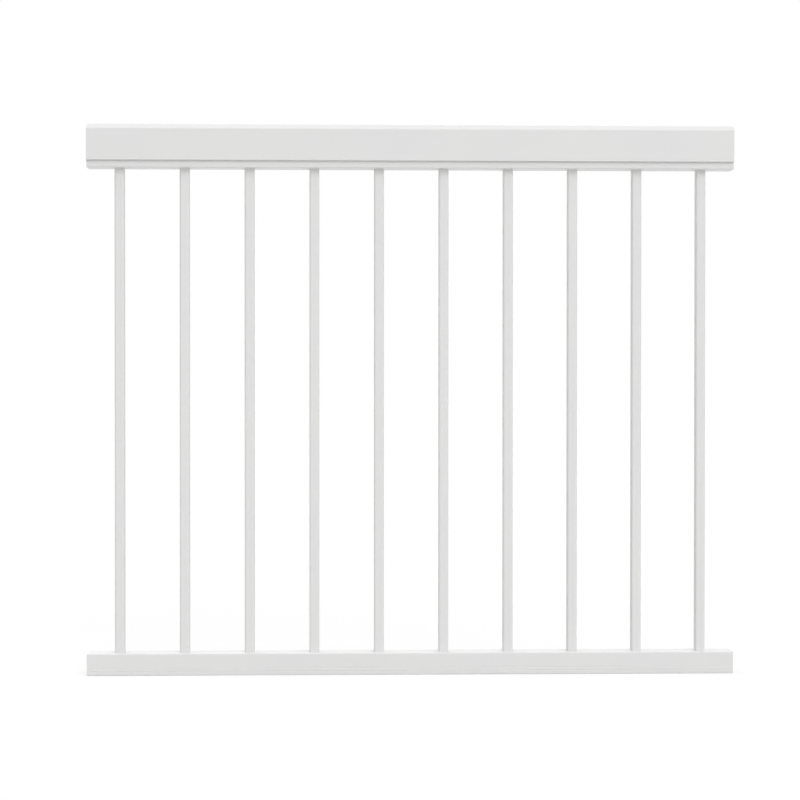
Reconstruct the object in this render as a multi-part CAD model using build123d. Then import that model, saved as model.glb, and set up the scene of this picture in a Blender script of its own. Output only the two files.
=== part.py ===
import os
from math import ceil, sqrt
from build123d import *

# Whole section
rail_length = 1173.3
end_gap = 49.125
largest_gap = 100.0

# Balusters: square extruded tube with a screw boss down the middle
baluster_width = 18.0
baluster_length = 878.6
baluster_wall = 1.3
baluster_corner_radius = 3.6
boss_diameter = 5.6
boss_bore = 2.8
boss_web = 1.2

# Bottom rail: channel with its web on top, open below between two turned-in lips
bottom_rail_depth = 44.45
bottom_rail_height = 39.6
bottom_rail_wall = 2.0
bottom_rail_corner_radius = 1.6
bottom_lip_reach = 4.0
reveal_heights = (7.0, 12.7)
reveal_width = 1.2
reveal_depth = 0.4

# Baluster channel: carries the balusters' upper ends and shows below the top rail, behind its face
channel_setback = 4.75
channel_drop = 13.0
channel_web = 2.0
channel_wall = 1.8
channel_corner_radius = 1.6

# Top rail: cap that is pressed down over the channel until its hooks clip under the flanges
top_rail_depth = 50.8
top_rail_height = 65.4
top_rail_wall = 2.0
top_rail_bevel = 8.5
top_rail_bevel_radius = 1.5
top_rail_edge_radius = 0.8
hook_height = 2.5
hook_lead_in = 1.2
shelf_height = 22.0
shelf_reach = 2.6
shelf_thickness = 2.0

# Fits and finishing
clip_clearance = 0.3
screw_hole = 3.8
end_edge_break = 0.5

# Places along the rails, from their left ends: the fewest balusters that keep to the largest gap
first_baluster = end_gap + baluster_width / 2
baluster_run = rail_length - 2 * first_baluster
bay_count = ceil(baluster_run / (largest_gap + baluster_width))
pitch = baluster_run / bay_count
baluster_places = [first_baluster + pitch * number for number in range(bay_count + 1)]

# Heights, from the middle of the bottom rail's web
bottom_rail_top = bottom_rail_wall / 2
bottom_rail_bottom = bottom_rail_top - bottom_rail_height
channel_bottom = bottom_rail_top + baluster_length
top_rail_bottom = channel_bottom + channel_drop
top_rail_top = top_rail_bottom + top_rail_height
flange_bottom = top_rail_bottom + hook_height + clip_clearance
flange_top = flange_bottom + channel_wall
shelf_bottom = top_rail_bottom + shelf_height

# Half widths, from the panel's middle plane
bottom_rail_face = bottom_rail_depth / 2
top_rail_face = top_rail_depth / 2
top_rail_inside = top_rail_face - top_rail_wall
top_rail_inner_bevel = top_rail_bevel - top_rail_wall * (2 - sqrt(2))
channel_face = top_rail_face - channel_setback
flange_edge = top_rail_inside - clip_clearance
hook_edge = channel_face + clip_clearance


# A rectangle of a section, between two corners given as across and up
def rectangle(left, bottom, right, top):
    return Pos((left + right) / 2, (bottom + top) / 2) * Rectangle(right - left, top - bottom)


def bottom_corners(sketch):
    return sketch.vertices().group_by(Axis.Y)[0]


def top_corners(sketch):
    return sketch.vertices().group_by(Axis.Y)[-1]


# The four corners of two bevels along a section's upper edges
def bevel_corners(sketch):
    rows = sketch.vertices().group_by(Axis.Y)
    return rows[-1] + rows[-2]


def both_sides(half):
    return half + mirror(half, about=Plane.YZ)


def along_rail(section):
    return extrude(Plane.YZ * section, amount=rail_length)


# A rail's outline at its cut length, with the sharp edge taken off all round both ends
def cut_length(outline):
    blank = along_rail(outline)
    end_edges = blank.faces().filter_by(Axis.X).edges()
    return chamfer(end_edges, end_edge_break)


def screw_holes(height, thickness):
    drill = Cylinder(screw_hole / 2, thickness * 2)
    return [Pos(place, 0, height) * drill for place in baluster_places]


def make_bottom_rail():
    outline = rectangle(-bottom_rail_face, bottom_rail_bottom, bottom_rail_face, bottom_rail_top)
    outline = fillet(outline.vertices(), bottom_rail_corner_radius)
    inside = bottom_rail_face - bottom_rail_wall
    lip_edge = inside - bottom_lip_reach
    lip_top = bottom_rail_bottom + bottom_rail_wall
    hollow = rectangle(-inside, lip_top, inside, bottom_rail_top - bottom_rail_wall)
    slot = rectangle(-lip_edge, bottom_rail_bottom, lip_edge, lip_top)
    rail = cut_length(outline) - along_rail(hollow + slot)
    reveal = Polygon(
        (0, reveal_width / 2), (-reveal_depth, 0), (0, -reveal_width / 2), align=None
    )
    for height in reveal_heights:
        rail -= along_rail(both_sides(Pos(bottom_rail_face, bottom_rail_bottom + height) * reveal))
    return rail - screw_holes(0, bottom_rail_wall)


def make_baluster_channel():
    trough = rectangle(-channel_face, channel_bottom, channel_face, flange_top)
    trough = fillet(bottom_corners(trough), channel_corner_radius)
    inside = channel_face - channel_wall
    hollow = rectangle(-inside, channel_bottom + channel_web, inside, flange_top)
    flange = rectangle(channel_face, flange_bottom, flange_edge, flange_top)
    leg = rectangle(flange_edge - channel_wall, flange_bottom, flange_edge, shelf_bottom)
    channel = cut_length(trough) - along_rail(hollow) + along_rail(both_sides(flange + leg))
    return channel - screw_holes(channel_bottom + channel_web / 2, channel_web)


def make_top_rail():
    outline = rectangle(-top_rail_face, top_rail_bottom, top_rail_face, top_rail_top)
    outline = chamfer(top_corners(outline), top_rail_bevel)
    outline = fillet(bevel_corners(outline), top_rail_bevel_radius)
    outline = fillet(bottom_corners(outline), top_rail_edge_radius)
    hollow = rectangle(
        -top_rail_inside, top_rail_bottom, top_rail_inside, top_rail_top - top_rail_wall
    )
    hollow = chamfer(top_corners(hollow), top_rail_inner_bevel)
    hook_top = top_rail_bottom + hook_height
    hook = Polygon(
        (top_rail_inside, top_rail_bottom),
        (top_rail_inside, hook_top),
        (hook_edge, hook_top),
        (hook_edge, top_rail_bottom + hook_lead_in),
        (hook_edge + hook_lead_in, top_rail_bottom),
        align=None,
    )
    shelf = rectangle(
        top_rail_inside - shelf_reach, shelf_bottom, top_rail_inside, shelf_bottom + shelf_thickness
    )
    return cut_length(outline) - along_rail(hollow) + along_rail(both_sides(hook + shelf))


def make_baluster(place):
    inside = baluster_width - 2 * baluster_wall
    tube = RectangleRounded(baluster_width, baluster_width, baluster_corner_radius)
    tube -= RectangleRounded(inside, inside, baluster_corner_radius - baluster_wall)
    boss = Circle(boss_diameter / 2) + Rectangle(inside, boss_web)
    section = tube + boss - Circle(boss_bore / 2)
    return extrude(Pos(place, 0, bottom_rail_top) * section, amount=baluster_length)


nodes = {
    "bottom_rail": make_bottom_rail(),
    "baluster_channel": make_baluster_channel(),
    "top_rail": make_top_rail(),
}
for number, place in enumerate(baluster_places, start=1):
    nodes[f"baluster_{number:02d}"] = make_baluster(place)

os.makedirs("parts", exist_ok=True)
for name, solid in nodes.items():
    export_step(solid, f"parts/{name}.step")
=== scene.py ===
import math

import bmesh
import bpy
from mathutils import Matrix, Vector


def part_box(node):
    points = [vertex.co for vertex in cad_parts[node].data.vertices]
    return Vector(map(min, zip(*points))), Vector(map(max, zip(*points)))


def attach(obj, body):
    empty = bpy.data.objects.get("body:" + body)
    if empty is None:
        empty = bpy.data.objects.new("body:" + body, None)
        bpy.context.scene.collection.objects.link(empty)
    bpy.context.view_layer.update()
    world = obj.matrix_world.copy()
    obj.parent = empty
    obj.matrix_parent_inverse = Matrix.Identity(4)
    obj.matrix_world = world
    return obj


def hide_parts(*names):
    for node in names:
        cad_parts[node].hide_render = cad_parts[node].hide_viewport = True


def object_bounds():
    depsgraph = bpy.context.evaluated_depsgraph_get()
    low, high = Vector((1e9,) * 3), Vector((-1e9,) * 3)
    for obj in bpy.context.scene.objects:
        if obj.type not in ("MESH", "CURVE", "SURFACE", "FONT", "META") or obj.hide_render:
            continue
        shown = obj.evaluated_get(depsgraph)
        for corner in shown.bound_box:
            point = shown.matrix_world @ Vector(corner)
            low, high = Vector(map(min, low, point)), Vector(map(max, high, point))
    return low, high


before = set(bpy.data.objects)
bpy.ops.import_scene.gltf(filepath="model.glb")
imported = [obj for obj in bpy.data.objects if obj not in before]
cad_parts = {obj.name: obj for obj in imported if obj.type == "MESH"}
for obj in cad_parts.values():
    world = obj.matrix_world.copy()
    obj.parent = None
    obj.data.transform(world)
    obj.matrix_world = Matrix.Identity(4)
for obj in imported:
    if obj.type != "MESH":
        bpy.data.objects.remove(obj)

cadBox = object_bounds()
mm = 0.001
print("frame loaded:", len(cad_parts), "CAD nodes")


def addNode(tree, kind, inputs=None, **settings):
    # Each input takes a value, a socket to link, or a list of sockets
    node = tree.nodes.new(kind)
    for name, value in settings.items():
        setattr(node, name, value)
    for key, value in (inputs or {}).items():
        for each in value if isinstance(value, list) else [value]:
            if isinstance(each, bpy.types.NodeSocket):
                tree.links.new(each, node.inputs[key])
            else:
                node.inputs[key].default_value = each
    return node


def mapRange(tree, value, source, result):
    return addNode(tree, "ShaderNodeMapRange", {
        "Value": value, "From Min": source[0], "From Max": source[1],
        "To Min": result[0], "To Max": result[1],
    }).outputs["Result"]


def hexColour(text):
    # sRGB hex to the linear colour that a socket takes
    channels = [int(text[i:i + 2], 16) / 255 for i in (0, 2, 4)]
    linear = [c / 12.92 if c <= 0.04045 else ((c + 0.055) / 1.055) ** 2.4 for c in channels]
    return (*linear, 1.0)


def newMaterial(name):
    material = bpy.data.materials.new(name)
    material.use_nodes = True
    material.node_tree.nodes.clear()
    return material, material.node_tree


def newPiece(name, data):
    # The data is a mesh, a lamp or a camera
    piece = bpy.data.objects.new(name, data)
    bpy.context.scene.collection.objects.link(piece)
    return piece


def storeMesh(name, mesh):
    data = bpy.data.meshes.new(name)
    mesh.to_mesh(data)
    mesh.free()
    return data


def appliedMesh(piece):
    # A plain copy of the piece's mesh, as its modifiers leave it
    graph = bpy.context.evaluated_depsgraph_get()
    return bpy.data.meshes.new_from_object(piece.evaluated_get(graph), depsgraph=graph)


# Materials

fullSpread = (0.0, 1.0)
noiseSpread = (0.3, 0.7)     # where nearly all values of a noise texture lie
wavePhase = 20.0             # radians over one unit of a wave texture at a scale of 1

coat = {
    "fullFilm": "e9e9e8",
    "thinFilm": "e4e5e5",
    "cloudWidth": 160.0,     # mm, slow changes of film thickness
    "roughness": (0.33, 0.41),
    "peelWidth": 4.0,        # mm, real orange peel is 1 to 3 mm, drawn coarser so that it shows close up
    "peelHeight": 0.05,      # mm over the full range of the noise
    "peelStrength": 1.0,
    "peelDetail": 1.0,
    "ior": 1.5,
}


def makePowderCoat():
    # White polyester powder, sprayed and baked: an even satin skin with a faint orange peel
    material, tree = newMaterial("satinPolyesterPowderCoat")
    place = addNode(tree, "ShaderNodeTexCoord").outputs["Object"]
    cloud = addNode(tree, "ShaderNodeTexNoise", {"Vector": place, "Scale": 1 / (coat["cloudWidth"] * mm)})
    film = addNode(tree, "ShaderNodeValToRGB", {"Fac": cloud.outputs["Fac"]})
    film.color_ramp.elements[0].color = hexColour(coat["thinFilm"])
    film.color_ramp.elements[1].color = hexColour(coat["fullFilm"])
    peel = addNode(tree, "ShaderNodeTexNoise", {
        "Vector": place, "Scale": 1 / (coat["peelWidth"] * mm), "Detail": coat["peelDetail"],
    }).outputs["Fac"]
    skin = addNode(tree, "ShaderNodeBump", {
        "Height": peel, "Distance": coat["peelHeight"] * mm, "Strength": coat["peelStrength"],
    })
    shader = addNode(tree, "ShaderNodeBsdfPrincipled", {
        "Base Color": film.outputs["Color"], "Normal": skin.outputs["Normal"], "IOR": coat["ior"],
        "Roughness": mapRange(tree, peel, noiseSpread, coat["roughness"]),
    })
    addNode(tree, "ShaderNodeOutputMaterial", {"Surface": shader.outputs["BSDF"]})
    return material


sawCut = {
    "metal": "d3d5d8",
    "roughness": (0.28, 0.45),
    "bladeCentre": (-70.0, -90.0),   # mm, across and up from the frame's origin, below the bottom rail
    "toothStep": 1.2,        # mm between tooth marks, drawn coarser than the real feed so that they show
    "markHeight": 0.02,      # mm
    "markStrength": 0.6,
    "markWander": 1.5,
    "markDetail": 2.0,
}


def makeSawCutAluminium():
    # Extruded 6063 aluminium, sawn across after coating: bare metal with tooth marks,
    # curved on the bottom rail and nearly straight on the cap, which is far from the blade's centre
    material, tree = newMaterial("sawCutAluminium")
    place = addNode(tree, "ShaderNodeTexCoord").outputs["Object"]
    across, up = sawCut["bladeCentre"]
    blade = addNode(tree, "ShaderNodeMapping", {"Vector": place, "Location": (0.0, -across * mm, -up * mm)})
    marks = addNode(tree, "ShaderNodeTexWave", {
        "Vector": blade.outputs["Vector"], "Scale": 2 * math.pi / (wavePhase * sawCut["toothStep"] * mm),
        "Distortion": sawCut["markWander"], "Detail": sawCut["markDetail"],
    }, wave_type="RINGS", rings_direction="X").outputs["Fac"]
    skin = addNode(tree, "ShaderNodeBump", {
        "Height": marks, "Distance": sawCut["markHeight"] * mm, "Strength": sawCut["markStrength"],
    })
    shader = addNode(tree, "ShaderNodeBsdfPrincipled", {
        "Base Color": hexColour(sawCut["metal"]), "Metallic": 1.0, "Normal": skin.outputs["Normal"],
        "Roughness": mapRange(tree, marks, fullSpread, sawCut["roughness"]),
    })
    addNode(tree, "ShaderNodeOutputMaterial", {"Surface": shader.outputs["BSDF"]})
    return material


steel = {
    "metal": "c4c3bf",
    "roughness": (0.22, 0.34),
    "rubWidth": 1.5,         # mm, tumbling marks on the heads
    "rubDetail": 4.0,
}


def makeStainlessSteel():
    # Cold-headed stainless screws, tumbled clean: bright grey metal with small dull rubs
    material, tree = newMaterial("tumbledStainlessSteel")
    place = addNode(tree, "ShaderNodeTexCoord").outputs["Object"]
    rubs = addNode(tree, "ShaderNodeTexNoise", {
        "Vector": place, "Scale": 1 / (steel["rubWidth"] * mm), "Detail": steel["rubDetail"],
    }).outputs["Fac"]
    shader = addNode(tree, "ShaderNodeBsdfPrincipled", {
        "Base Color": hexColour(steel["metal"]), "Metallic": 1.0,
        "Roughness": mapRange(tree, rubs, noiseSpread, steel["roughness"]),
    })
    addNode(tree, "ShaderNodeOutputMaterial", {"Surface": shader.outputs["BSDF"]})
    return material


powderCoat = makePowderCoat()
sawCutAluminium = makeSawCutAluminium()
stainlessSteel = makeStainlessSteel()
print("materials made")


# Outlines: corners are (across, up, radius) in mm, in order round the section

smallRadius = 2.0            # mm, arcs up to this radius take the longer step
arcStep = math.radians(7.5)
smallArcStep = math.radians(22.5)
leastArcPieces = 2
leastRadius = 0.02           # mm, for a corner whose radius the inset takes up
squareCorners = ((-1, -1), (1, -1), (1, 1), (-1, 1))


def mirrored(half):
    return half + [(-across, up, radius) for across, up, radius in reversed(half)]


def anticlockwise(corners):
    ahead = corners[1:] + corners[:1]
    area = sum(a[0] * b[1] - b[0] * a[1] for a, b in zip(corners, ahead))
    return corners if area > 0 else corners[::-1]


def arcPoints(radius, start, sweep, pieces):
    angles = [start + sweep * piece / pieces for piece in range(pieces + 1)]
    return [Vector((math.cos(angle), math.sin(angle))) * radius for angle in angles]


def outlineRing(corners, inset=0.0):
    # The outline's points, with every edge moved inwards by the inset and every corner drawn as an arc
    points = [Vector(corner[:2]) for corner in corners]
    ring = []
    for i, (_, _, radius) in enumerate(corners):
        before = (points[i] - points[i - 1]).normalized()
        after = (points[(i + 1) % len(points)] - points[i]).normalized()
        turn = math.atan2(before.cross(after), before.dot(after))
        side = math.copysign(1, turn)
        inBefore = Vector((-before.y, before.x))
        inAfter = Vector((-after.y, after.x))
        toMiddle = (inBefore + inAfter) / (1 + inBefore.dot(inAfter))
        ringRadius = max(radius - side * inset, leastRadius)
        centre = points[i] + toMiddle * (inset + side * ringRadius)
        step = arcStep if radius > smallRadius else smallArcStep
        pieces = max(leastArcPieces, math.ceil(abs(turn) / step))
        for piece in range(pieces + 1):
            spoke = Matrix.Rotation(turn * piece / pieces, 2) @ inBefore
            ring.append(centre - spoke * side * ringRadius)
    return ring


def skinRings(mesh, rings):
    # Walls from each ring to the next, and a flat face over both ends
    walls = []
    for here, there in zip(rings, rings[1:]):
        sides = range(len(here))
        walls.append([mesh.faces.new((here[i - 1], here[i], there[i], there[i - 1])) for i in sides])
    ends = [mesh.faces.new(ring) for ring in (rings[0][::-1], rings[-1])]
    bmesh.ops.recalc_face_normals(mesh, faces=mesh.faces)
    return walls, ends


breakSteps = 4               # facets round the broken edge of a cut end


def extrudeRail(name, corners, lowest, highest, endBreak):
    # A straight rail along X with the sharp edge taken off round both cut ends
    corners = anticlockwise(corners)
    quarter = [math.pi / 2 * step / breakSteps for step in range(breakSteps + 1)]
    brokenEdge = [(endBreak * (1 - math.cos(a)), endBreak * (1 - math.sin(a))) for a in quarter]
    places = [(lowest.x / mm + along, inset) for along, inset in brokenEdge]
    places += [(highest.x / mm - along, inset) for along, inset in reversed(brokenEdge)]
    mesh = bmesh.new()
    rings = []
    for along, inset in places:
        ring = outlineRing(corners, inset)
        rings.append([mesh.verts.new(Vector((along, p.x, p.y)) * mm) for p in ring])
    walls, ends = skinRings(mesh, rings)
    del walls[breakSteps]        # the long faces keep the coat, and the rest is bare metal
    for face in sum(walls, ends):
        face.material_index = 1
    data = storeMesh(name, mesh)
    data.materials.append(powderCoat)
    data.materials.append(sawCutAluminium)
    return newPiece(name, data)


def cutAway(piece, cutterMesh):
    cutter = newPiece("cutter", cutterMesh)
    cut = piece.modifiers.new("cut", "BOOLEAN")
    cut.operation = "DIFFERENCE"
    cut.solver = "EXACT"
    cut.object = cutter
    left = appliedMesh(piece)
    piece.modifiers.remove(cut)
    piece.data = left
    bpy.data.objects.remove(cutter)


smoothAngle = math.radians(38)


def smoothFaces(piece):
    # Rounded edges shade smoothly and the broad faces between them stay flat
    for face in piece.data.polygons:
        face.use_smooth = True
    piece.data.set_sharp_from_angle(angle=smoothAngle)
    weighted = piece.modifiers.new("flatFacesStayFlat", "WEIGHTED_NORMAL")
    weighted.keep_sharp = True


def finishPiece(piece, slot, *nodes):
    smoothFaces(piece)
    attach(piece, "root")
    if nodes:
        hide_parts(*nodes)
    print("made", piece.name, "with", len(piece.data.polygons), "faces")


# Rails: sizes are in mm

softEdge = 0.3               # the radius that the coat gives a small corner
holeFacets = 32
balusterNodes = sorted(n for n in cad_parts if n.startswith("baluster_") and n[-2:].isdigit())
balusterBoxes = [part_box(n) for n in balusterNodes]
balusterPlaces = [(low.x + high.x) / 2 for low, high in balusterBoxes]       # m

channelSizes = {
    "setback": 4.75,         # behind the cap's face
    "web": 2.0, "wall": 1.8, "cornerRadius": 1.6, "endBreak": 0.4,
    "flangeRise": 15.8,      # from the underside to the underside of the flanges
    "screwHole": 3.8,
}

capSizes = {
    "wall": 2.0, "bevel": 8.5, "bevelRadius": 1.5, "edgeRadius": 0.8, "endBreak": 0.5,
    "hookHeight": 2.5, "hookLeadIn": 1.2,    # the hooks clip under the channel's flanges
    "clearance": 0.3,                        # from the hooks to the channel's faces
    "shelfHeight": 22.0, "shelfReach": 2.6, "shelfThickness": 2.0,
}


def makeTopRail():
    low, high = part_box("top_rail")
    face, bottom, top = high.y / mm, low.z / mm, high.z / mm
    wall, bevel = capSizes["wall"], capSizes["bevel"]
    inside, ceiling = face - wall, top - wall
    innerBevel = bevel - wall * (2 - math.sqrt(2))       # the wall keeps its thickness at the bevel
    hookEdge = face - channelSizes["setback"] + capSizes["clearance"]
    hookTop = bottom + capSizes["hookHeight"]
    shelfEdge = inside - capSizes["shelfReach"]
    shelfBottom = bottom + capSizes["shelfHeight"]
    shelfTop = shelfBottom + capSizes["shelfThickness"]
    half = [
        (face - bevel, top, capSizes["bevelRadius"]),
        (face, top - bevel, capSizes["bevelRadius"]),
        (face, bottom, capSizes["edgeRadius"]),
        (hookEdge + capSizes["hookLeadIn"], bottom, softEdge),
        (hookEdge, bottom + capSizes["hookLeadIn"], softEdge),
        (hookEdge, hookTop, softEdge),
        (inside, hookTop, softEdge),
        (inside, shelfBottom, softEdge),
        (shelfEdge, shelfBottom, softEdge),
        (shelfEdge, shelfTop, softEdge),
        (inside, shelfTop, softEdge),
        (inside, ceiling - innerBevel, softEdge),
        (inside - innerBevel, ceiling, softEdge),
    ]
    rail = extrudeRail("topRail", mirrored(half), low, high, capSizes["endBreak"])
    finishPiece(rail, "white_powder_coat", "top_rail")


def drillWeb(rail, middle, thickness, diameter):
    # A screw hole at each baluster, through the web whose middle is at this height
    drills = bmesh.new()
    for place in balusterPlaces:
        made = bmesh.ops.create_cone(drills, cap_ends=True, segments=holeFacets, depth=2 * thickness * mm,
                                     radius1=diameter / 2 * mm, radius2=diameter / 2 * mm)
        bmesh.ops.translate(drills, verts=made["verts"], vec=(place, 0, middle * mm))
    cutAway(rail, storeMesh("drills", drills))


def makeBalusterChannel():
    low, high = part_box("baluster_channel")
    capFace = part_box("top_rail")[1].y / mm
    face, edge, bottom, top = capFace - channelSizes["setback"], high.y / mm, low.z / mm, high.z / mm
    wall, web = channelSizes["wall"], channelSizes["web"]
    flangeBottom = bottom + channelSizes["flangeRise"]
    flangeTop = flangeBottom + wall
    half = [
        (face, bottom, channelSizes["cornerRadius"]),
        (face, flangeBottom, softEdge),
        (edge, flangeBottom, softEdge),
        (edge, top, softEdge),
        (edge - wall, top, softEdge),
        (edge - wall, flangeTop, softEdge),
        (face - wall, flangeTop, softEdge),
        (face - wall, bottom + web, softEdge),
    ]
    rail = extrudeRail("balusterChannel", mirrored(half), low, high, channelSizes["endBreak"])
    drillWeb(rail, bottom + web / 2, web, channelSizes["screwHole"])
    finishPiece(rail, "white_powder_coat", "baluster_channel")


bottomRailSizes = {
    "wall": 2.0, "cornerRadius": 1.6, "lipReach": 4.0, "endBreak": 0.5,
    "revealHeights": (12.7, 7.0), "revealWidth": 1.2, "revealDepth": 0.4,
    "screwHole": 3.8,
}


def makeBottomRail():
    low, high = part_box("bottom_rail")
    face, bottom, top = high.y / mm, low.z / mm, high.z / mm
    wall = bottomRailSizes["wall"]
    inside = face - wall
    lipEdge = inside - bottomRailSizes["lipReach"]
    half = [(face, top, bottomRailSizes["cornerRadius"])]
    for height in bottomRailSizes["revealHeights"]:
        middle, reach = bottom + height, bottomRailSizes["revealWidth"] / 2
        half += [
            (face, middle + reach, softEdge),
            (face - bottomRailSizes["revealDepth"], middle, softEdge),
            (face, middle - reach, softEdge),
        ]
    half += [
        (face, bottom, bottomRailSizes["cornerRadius"]),
        (lipEdge, bottom, softEdge),
        (lipEdge, bottom + wall, softEdge),
        (inside, bottom + wall, softEdge),
        (inside, top - wall, softEdge),
    ]
    rail = extrudeRail("bottomRail", mirrored(half), low, high, bottomRailSizes["endBreak"])
    drillWeb(rail, top - wall / 2, wall, bottomRailSizes["screwHole"])
    finishPiece(rail, "white_powder_coat", "bottom_rail")


makeTopRail()
makeBalusterChannel()
makeBottomRail()


# Geometry Nodes: a tree takes a small mesh and its sizes, and its result becomes a plain piece

rowInputs = {"Count": "Int", "First": "Float", "Pitch": "Float"}
rowSizes = {
    "Count": len(balusterPlaces), "First": balusterPlaces[0],
    "Pitch": balusterPlaces[1] - balusterPlaces[0],
}


def newTree(name, inputs):
    tree = bpy.data.node_groups.new(name, "GeometryNodeTree")
    tree.interface.new_socket("Geometry", in_out="INPUT", socket_type="NodeSocketGeometry")
    for label, kind in {**rowInputs, **inputs}.items():
        tree.interface.new_socket(label, in_out="INPUT", socket_type="NodeSocket" + kind)
    tree.interface.new_socket("Geometry", in_out="OUTPUT", socket_type="NodeSocketGeometry")
    return tree, addNode(tree, "NodeGroupInput").outputs


def pointRow(tree, given, height):
    # One point for each baluster, along X at the given height
    start = addNode(tree, "ShaderNodeCombineXYZ", {"X": given["First"], "Z": height})
    step = addNode(tree, "ShaderNodeCombineXYZ", {"X": given["Pitch"]})
    line = addNode(tree, "GeometryNodeMeshLine", {
        "Count": given["Count"], "Start Location": start.outputs[0], "Offset": step.outputs[0],
    })
    return line.outputs["Mesh"]


def endTree(tree, instances, material):
    real = addNode(tree, "GeometryNodeRealizeInstances", {"Geometry": instances})
    dressed = addNode(tree, "GeometryNodeSetMaterial", {
        "Geometry": real.outputs["Geometry"], "Material": material,
    })
    addNode(tree, "NodeGroupOutput", {"Geometry": dressed.outputs["Geometry"]})


def runTree(name, mesh, tree, sizes):
    maker = newPiece(name + "Maker", mesh)
    modifier = maker.modifiers.new("nodes", "NODES")
    modifier.node_group = tree
    given = {**rowSizes, **sizes}
    for socket in tree.interface.items_tree:
        if socket.name in given:
            modifier[socket.identifier] = given[socket.name]
    result = appliedMesh(maker)
    bpy.data.objects.remove(maker)
    return newPiece(name, result)


# Balusters: sizes are in mm

balusterSizes = {
    "wall": 1.3, "cornerRadius": 3.6,
    "bossDiameter": 5.6, "bossBore": 2.8, "bossWeb": 1.2,        # the boss takes the screws at both ends
    "roundSteps": 24,
    "weld": 0.01,            # points closer than this become one
}


def makeBalusterSection(width):
    # The flat section: a rounded square with two hollows, and a bored boss on a web between them
    half, inside = width / 2, width / 2 - balusterSizes["wall"]
    outerRadius = balusterSizes["cornerRadius"]
    innerRadius = outerRadius - balusterSizes["wall"]
    boss, bore = balusterSizes["bossDiameter"] / 2, balusterSizes["bossBore"] / 2
    web, steps = balusterSizes["bossWeb"] / 2, balusterSizes["roundSteps"]
    outer = outlineRing([(x * half, y * half, outerRadius) for x, y in squareCorners])
    hollow = outlineRing([
        (inside, web, softEdge), (inside, inside, innerRadius),
        (-inside, inside, innerRadius), (-inside, web, softEdge),
    ])
    shoulder = math.asin(web / boss)
    hollow += arcPoints(boss, shoulder, math.pi - 2 * shoulder, steps)[::-1]
    boreRing = arcPoints(bore, 0, 2 * math.pi, steps)[:-1]
    mesh = bmesh.new()
    for ring in (outer, hollow, [-point for point in hollow], boreRing):
        corners = [mesh.verts.new((point * mm).to_3d()) for point in ring]
        for i in range(len(corners)):
            mesh.edges.new((corners[i - 1], corners[i]))
    bmesh.ops.triangle_fill(mesh, edges=mesh.edges, use_beauty=True, normal=(0, 0, 1))
    return storeMesh("balusterSection", mesh)


def makeBalusterTree():
    tree, given = newTree("balusterRow", {"Length": "Float", "Foot": "Float", "Coat": "Material"})
    foot = addNode(tree, "GeometryNodeFlipFaces", {"Mesh": given["Geometry"]})
    drawn = addNode(tree, "GeometryNodeExtrudeMesh", {
        "Mesh": given["Geometry"], "Offset": (0, 0, 1), "Offset Scale": given["Length"],
        "Individual": False,
    }, mode="FACES")
    both = addNode(tree, "GeometryNodeJoinGeometry", {
        "Geometry": [foot.outputs["Mesh"], drawn.outputs["Mesh"]],
    })
    tube = addNode(tree, "GeometryNodeMergeByDistance", {
        "Geometry": both.outputs["Geometry"], "Distance": balusterSizes["weld"] * mm,
    })
    row = addNode(tree, "GeometryNodeInstanceOnPoints", {
        "Points": pointRow(tree, given, given["Foot"]), "Instance": tube.outputs["Geometry"],
    })
    endTree(tree, row.outputs["Instances"], given["Coat"])
    return tree


def makeBalusters():
    low, high = balusterBoxes[0]
    section = makeBalusterSection((high.x - low.x) / mm)
    row = runTree("balusters", section, makeBalusterTree(), {
        "Length": high.z - low.z, "Foot": low.z, "Coat": powderCoat,
    })
    finishPiece(row, "white_powder_coat", *balusterNodes)


makeBalusters()


# Screws through both webs into the balusters' bosses: sizes are in mm

screwSizes = {
    "headDiameter": 7.0, "headHeight": 2.5, "headRim": 0.7,
    "shank": 3.4, "core": 2.7, "length": 19.0, "point": 3.0,
    "recessLength": 4.2, "recessWidth": 1.05, "recessDepth": 1.6,
    "recessTaper": 0.55,     # the floor's share of the mouth
    "domeSteps": 8, "roundSteps": 32,
    "weld": 0.001,           # points closer than this become one
    "seed": 7,
}


def makeRecess():
    # The cutter for a cross recess, which narrows from the crown of the head to its floor
    reach, side = screwSizes["recessLength"] / 2, screwSizes["recessWidth"] / 2
    wing = [Vector((reach, -side)), Vector((reach, side)), Vector((side, side))]
    halfFacet = math.pi / screwSizes["roundSteps"]       # keeps the cutter's edges off the head's own
    cross = []
    for quarter in range(4):
        turn = Matrix.Rotation(math.pi / 2 * quarter + halfFacet, 2)
        cross += [turn @ point for point in wing]
    crown, depth = screwSizes["headHeight"], screwSizes["recessDepth"]
    levels = ((crown - depth, screwSizes["recessTaper"]), (crown, 1.0), (crown + depth, 1.0))
    mesh = bmesh.new()
    rings = []
    for height, share in levels:
        rings.append([mesh.verts.new(Vector((*(point * share), height)) * mm) for point in cross])
    skinRings(mesh, rings)
    return storeMesh("recess", mesh)


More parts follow.
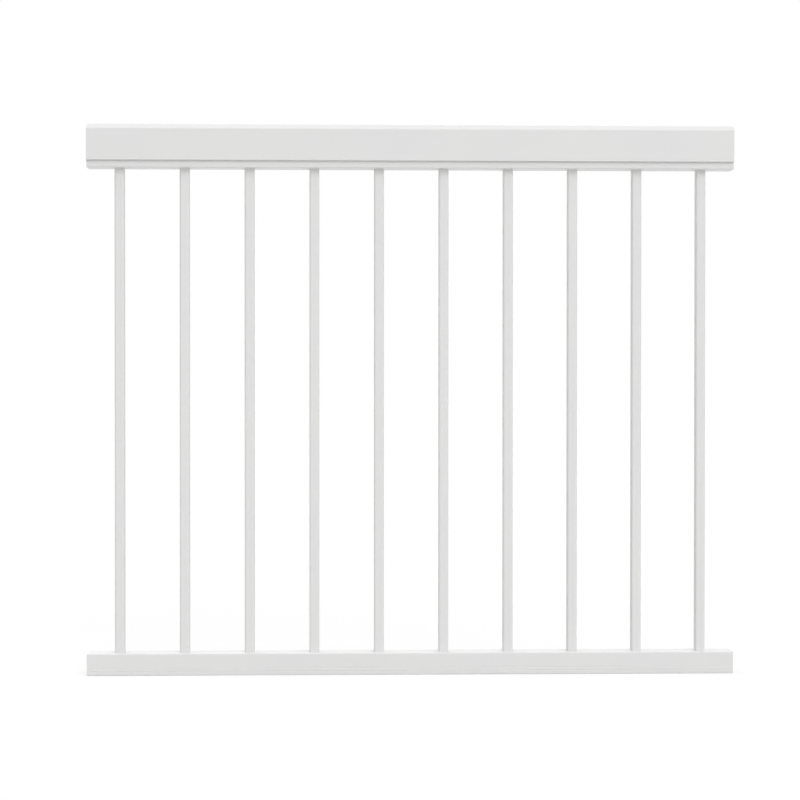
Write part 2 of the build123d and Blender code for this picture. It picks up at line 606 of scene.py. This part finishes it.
def makeScrew(webThickness):
    # A pan-head screw standing on its bearing face, turned about Z
    radius, rim = screwSizes["headDiameter"] / 2, screwSizes["headRim"]
    core, shank = screwSizes["core"] / 2, screwSizes["shank"] / 2
    dome, steps = screwSizes["headHeight"] - rim, screwSizes["domeSteps"]
    profile = [
        (0, -screwSizes["length"]),
        (core, screwSizes["point"] - screwSizes["length"]),
        (core, -webThickness),
        (shank, -webThickness),
        (shank, 0),
        (radius, 0),
    ]
    for step in range(steps + 1):
        angle = math.pi / 2 * step / steps
        profile.append((radius * math.cos(angle), rim + dome * math.sin(angle)))
    mesh = bmesh.new()
    line = [mesh.verts.new(Vector((across, 0, up)) * mm) for across, up in profile]
    edges = [mesh.edges.new(pair) for pair in zip(line, line[1:])]
    bmesh.ops.spin(mesh, geom=line + edges, cent=(0, 0, 0), axis=(0, 0, 1), angle=2 * math.pi,
                   steps=screwSizes["roundSteps"], use_merge=True)
    bmesh.ops.remove_doubles(mesh, verts=mesh.verts, dist=screwSizes["weld"] * mm)
    bmesh.ops.recalc_face_normals(mesh, faces=mesh.faces)
    blank = newPiece("screwBlank", storeMesh("panHeadScrew", mesh))
    cutAway(blank, makeRecess())
    screw = blank.data
    bpy.data.objects.remove(blank)
    return screw


def makeScrewTree():
    tree, given = newTree("screwRows", {
        "Upper Web": "Float", "Lower Web": "Float", "Seed": "Int", "Metal": "Material",
    })
    rows = []
    for web, flip in (("Upper Web", 0.0), ("Lower Web", math.pi)):
        turn = addNode(tree, "FunctionNodeRandomValue", {
            "Max": 2 * math.pi, "Seed": given["Seed"],
        }, data_type="FLOAT")
        driven = addNode(tree, "ShaderNodeCombineXYZ", {"X": flip, "Z": turn.outputs["Value"]})
        row = addNode(tree, "GeometryNodeInstanceOnPoints", {
            "Points": pointRow(tree, given, given[web]), "Instance": given["Geometry"],
            "Rotation": driven.outputs[0],
        })
        rows.append(row.outputs["Instances"])
    both = addNode(tree, "GeometryNodeJoinGeometry", {"Geometry": rows})
    endTree(tree, both.outputs["Geometry"], given["Metal"])
    return tree


def makeScrews():
    screw = makeScrew(channelSizes["web"])
    channelLow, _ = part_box("baluster_channel")
    _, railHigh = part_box("bottom_rail")
    rows = runTree("fixingScrews", screw, makeScrewTree(), {
        "Upper Web": channelLow.z + channelSizes["web"] * mm,
        "Lower Web": railHigh.z - bottomRailSizes["wall"] * mm,
        "Seed": screwSizes["seed"], "Metal": stainlessSteel,
    })
    finishPiece(rows, "stainless_steel")


makeScrews()


# Stage: floor, light and camera

boxMiddle = (cadBox[0] + cadBox[1]) / 2


def seenRay(tree):
    # 1 for what is seen, mirrored or not, and 0 for light that falls on the object
    path = addNode(tree, "ShaderNodeLightPath").outputs
    seen = path["Is Camera Ray"]
    for ray in ("Is Glossy Ray", "Is Transmission Ray"):
        seen = addNode(tree, "ShaderNodeMath", {0: seen, 1: path[ray]}, operation="MAXIMUM").outputs[0]
    return seen


floor = {
    "bounce": "dadad9",
    "shade": "868686", "glow": 0.75,     # as it is seen: white, with the object's shadow kept
    "width": 60.0,           # m, wide enough to light the cap from below as it does the feet
}


def makeStudioPaper():
    # Seamless white paper: even white to the eye, and a soft light from below
    material, tree = newMaterial("matteStudioPaper")
    bounce = addNode(tree, "ShaderNodeBsdfDiffuse", {"Color": hexColour(floor["bounce"])})
    shade = addNode(tree, "ShaderNodeBsdfDiffuse", {"Color": hexColour(floor["shade"])})
    glow = addNode(tree, "ShaderNodeEmission", {"Strength": floor["glow"]})
    white = addNode(tree, "ShaderNodeAddShader", {0: shade.outputs[0], 1: glow.outputs[0]})
    paper = addNode(tree, "ShaderNodeMixShader", {
        0: seenRay(tree), 1: bounce.outputs[0], 2: white.outputs[0],
    })
    addNode(tree, "ShaderNodeOutputMaterial", {"Surface": paper.outputs[0]})
    return material


def makeFloor():
    reach = floor["width"] / 2
    mesh = bmesh.new()
    corners = [(boxMiddle.x + x * reach, boxMiddle.y + y * reach, cadBox[0].z) for x, y in squareCorners]
    mesh.faces.new([mesh.verts.new(corner) for corner in corners])
    data = storeMesh("floor", mesh)
    data.materials.append(makeStudioPaper())
    newPiece("floor", data)


sky = {
    "colour": "ffffff",
    "low": 0.10, "high": 1.48,           # strength at the horizon and overhead
    "focus": 2.3,                        # how closely the strong light keeps to overhead
    "seen": 1.0,
}


def makeSky():
    world = bpy.data.worlds.new("whiteStudio")
    world.use_nodes = True
    tree = world.node_tree
    tree.nodes.clear()
    colour = hexColour(sky["colour"])
    way = addNode(tree, "ShaderNodeTexCoord").outputs["Generated"]
    up = addNode(tree, "ShaderNodeSeparateXYZ", {0: way}).outputs["Z"]
    rise = addNode(tree, "ShaderNodeMath", {0: up, 1: sky["focus"]}, operation="POWER").outputs[0]
    level = mapRange(tree, rise, fullSpread, (sky["low"], sky["high"]))
    light = addNode(tree, "ShaderNodeBackground", {"Strength": level, "Color": colour})
    white = addNode(tree, "ShaderNodeBackground", {"Strength": sky["seen"], "Color": colour})
    both = addNode(tree, "ShaderNodeMixShader", {
        0: seenRay(tree), 1: light.outputs[0], 2: white.outputs[0],
    })
    addNode(tree, "ShaderNodeOutputWorld", {"Surface": both.outputs[0]})
    bpy.context.scene.world = world


lampFar = 3.6                # m from the object's middle
lamps = {                    # spread is in degrees
    "keyLight": {"strength": 1.36, "spread": 46.0, "from": (0.28, -0.77, 0.573)},
    "backLight": {"strength": 0.45, "spread": 50.0, "from": (-0.30, 0.70, 0.65)},
}


def makeLights():
    for name, lamp in lamps.items():
        light = bpy.data.lights.new(name, "SUN")
        light.energy = lamp["strength"]
        light.angle = math.radians(lamp["spread"])
        away = Vector(lamp["from"]) * lampFar
        piece = newPiece(name, light)
        piece.location = boxMiddle + away
        piece.rotation_euler = (-away).to_track_quat("-Z", "Y").to_euler()


view = {
    "place": (0.451885, -3.643185, 0.497802),    # m
    "turn": 0.0314, "tilt": 0.01048, "roll": -0.00038,   # radians
    "lens": 90.0, "sensor": 36.0,                # mm
}


def makeCamera():
    data = bpy.data.cameras.new("camera")
    data.sensor_width = view["sensor"]
    data.lens = view["lens"]
    camera = newPiece("camera", data)
    camera.location = view["place"]
    camera.rotation_euler = (math.pi / 2 - view["tilt"], view["roll"], -view["turn"])
    bpy.context.scene.camera = camera


makeFloor()
makeSky()
makeLights()
makeCamera()
bpy.context.scene.view_settings.view_transform = "Standard"
print("stage set")
